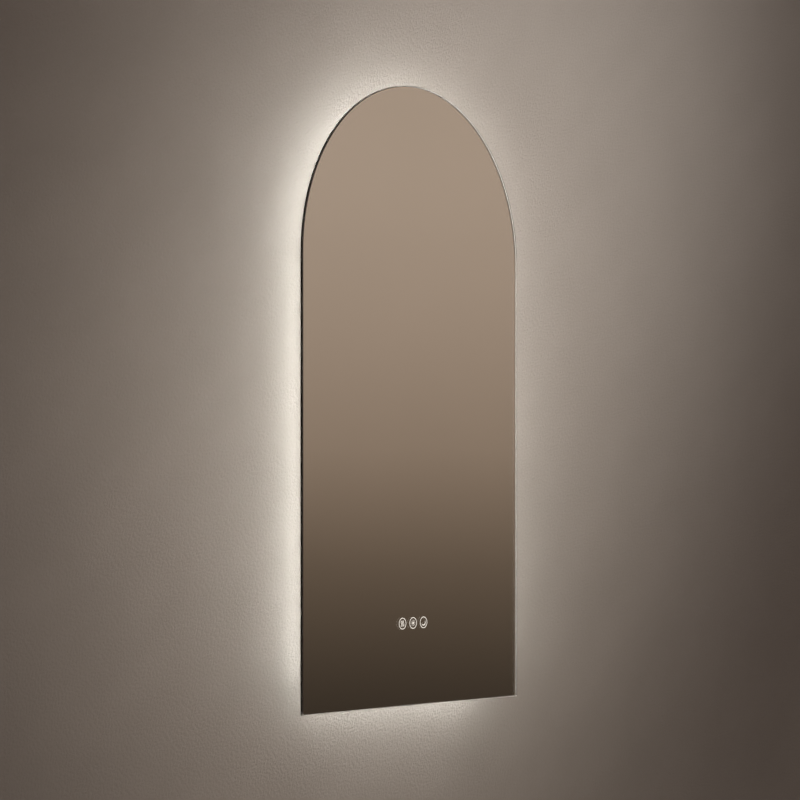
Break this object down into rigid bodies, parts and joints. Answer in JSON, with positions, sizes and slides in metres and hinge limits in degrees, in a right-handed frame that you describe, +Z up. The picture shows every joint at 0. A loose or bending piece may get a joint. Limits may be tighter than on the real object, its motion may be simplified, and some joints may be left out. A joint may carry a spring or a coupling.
{
  "type": "lighted bathroom mirror",
  "caption": "Frameless arched bathroom mirror, back-lit by a strip round its frame, with touch icons and a demister, hung on a wall rail.",
  "frame": {"origin": "middle of the wall rail's line of two slotted screw holes, on the wall plane", "axes": "+X to the right seen from the front, +Y into the wall (the mirror faces -Y), +Z up"},
  "size_m": [0.5, 0.042, 0.8999],
  "materials": {
    "clear_glass": "5 mm float glass, polished arrises",
    "silver": "silvered back of the glass",
    "film": "grey safety film",
    "foam_tape": "black acrylic foam tape",
    "aluminium": "mill-finish extruded aluminium",
    "rivet_aluminium": "bright rivet",
    "zinc_steel": "zinc-plated steel",
    "coated_sheet": "pale powder-coated sheet",
    "opal": "opal diffuser",
    "strip_board": "white printed strip",
    "led_chip": "white chip with yellow phosphor",
    "rubber": "black rubber",
    "grey_plastic": "grey moulded plastic",
    "white_plastic": "white moulded plastic",
    "black_plastic": "black moulded plastic",
    "terminal_plastic": "off-white polyamide",
    "component_plastic": "black component bodies",
    "circuit_board": "green printed board",
    "brass": "brass",
    "copper": "copper foil",
    "pad_film": "amber polyester film",
    "white_wire": "white wire insulation",
    "earth_wire": "green and yellow insulation",
    "red_black_wire": "red and black twin lead"
  },
  "bodies": {
    "rail": {"wall_rail": "zinc_steel"},
    "mirror": {"back_cover": "coated_sheet", "bonding_tape": "foam_tape", "bumper_screws": "zinc_steel", "cable_grommet": "rubber", "corner_caps": "grey_plastic", "corner_keys": "zinc_steel", "cover_screws": "zinc_steel", "cross_member": "aluminium", "demister_pad": "pad_film", "demister_wire": "white_wire", "diffuser_arch": "opal", "diffuser_bottom": "opal", "driver_board": "circuit_board", "driver_case": "white_plastic", "driver_lid": "white_plastic", "driver_parts": "component_plastic", "driver_screws": "zinc_steel", "earth_lug": "brass", "earth_nut": "zinc_steel", "earth_stud": "zinc_steel", "earth_wire": "earth_wire", "frame_arch": "aluminium", "frame_bottom": "aluminium", "hanging_hook": "zinc_steel", "heater_trace": "copper", "hook_rivets": "rivet_aluminium", "icon_lights": "led_chip", "key_screws": "zinc_steel", "led_chips_arch": "led_chip", "led_chips_bottom": "led_chip", "led_strip_arch": "strip_board", "led_strip_bottom": "strip_board", "led_wire_arch": "red_black_wire", "led_wire_bottom": "red_black_wire", "mains_wire": "white_wire", "mirror_glass": "clear_glass", "pad_terminal": "black_plastic", "safety_film": "film", "silver_layer": "silver", "terminal_block": "terminal_plastic", "terminal_case": "white_plastic", "terminal_clamps": "brass", "terminal_lid": "white_plastic", "terminal_lid_screws": "zinc_steel", "touch_board": "circuit_board", "touch_connector": "terminal_plastic", "touch_housing": "black_plastic", "touch_rings": "copper", "touch_wire": "red_black_wire", "wall_bumpers": "rubber", "wire_clips": "black_plastic"}
  },
  "joints": [
    {"name": "lift_off", "type": "slide", "parent": "rail", "child": "mirror", "axis": [0, 0, 1], "range_m": [0, 0.0125]}
  ]
}
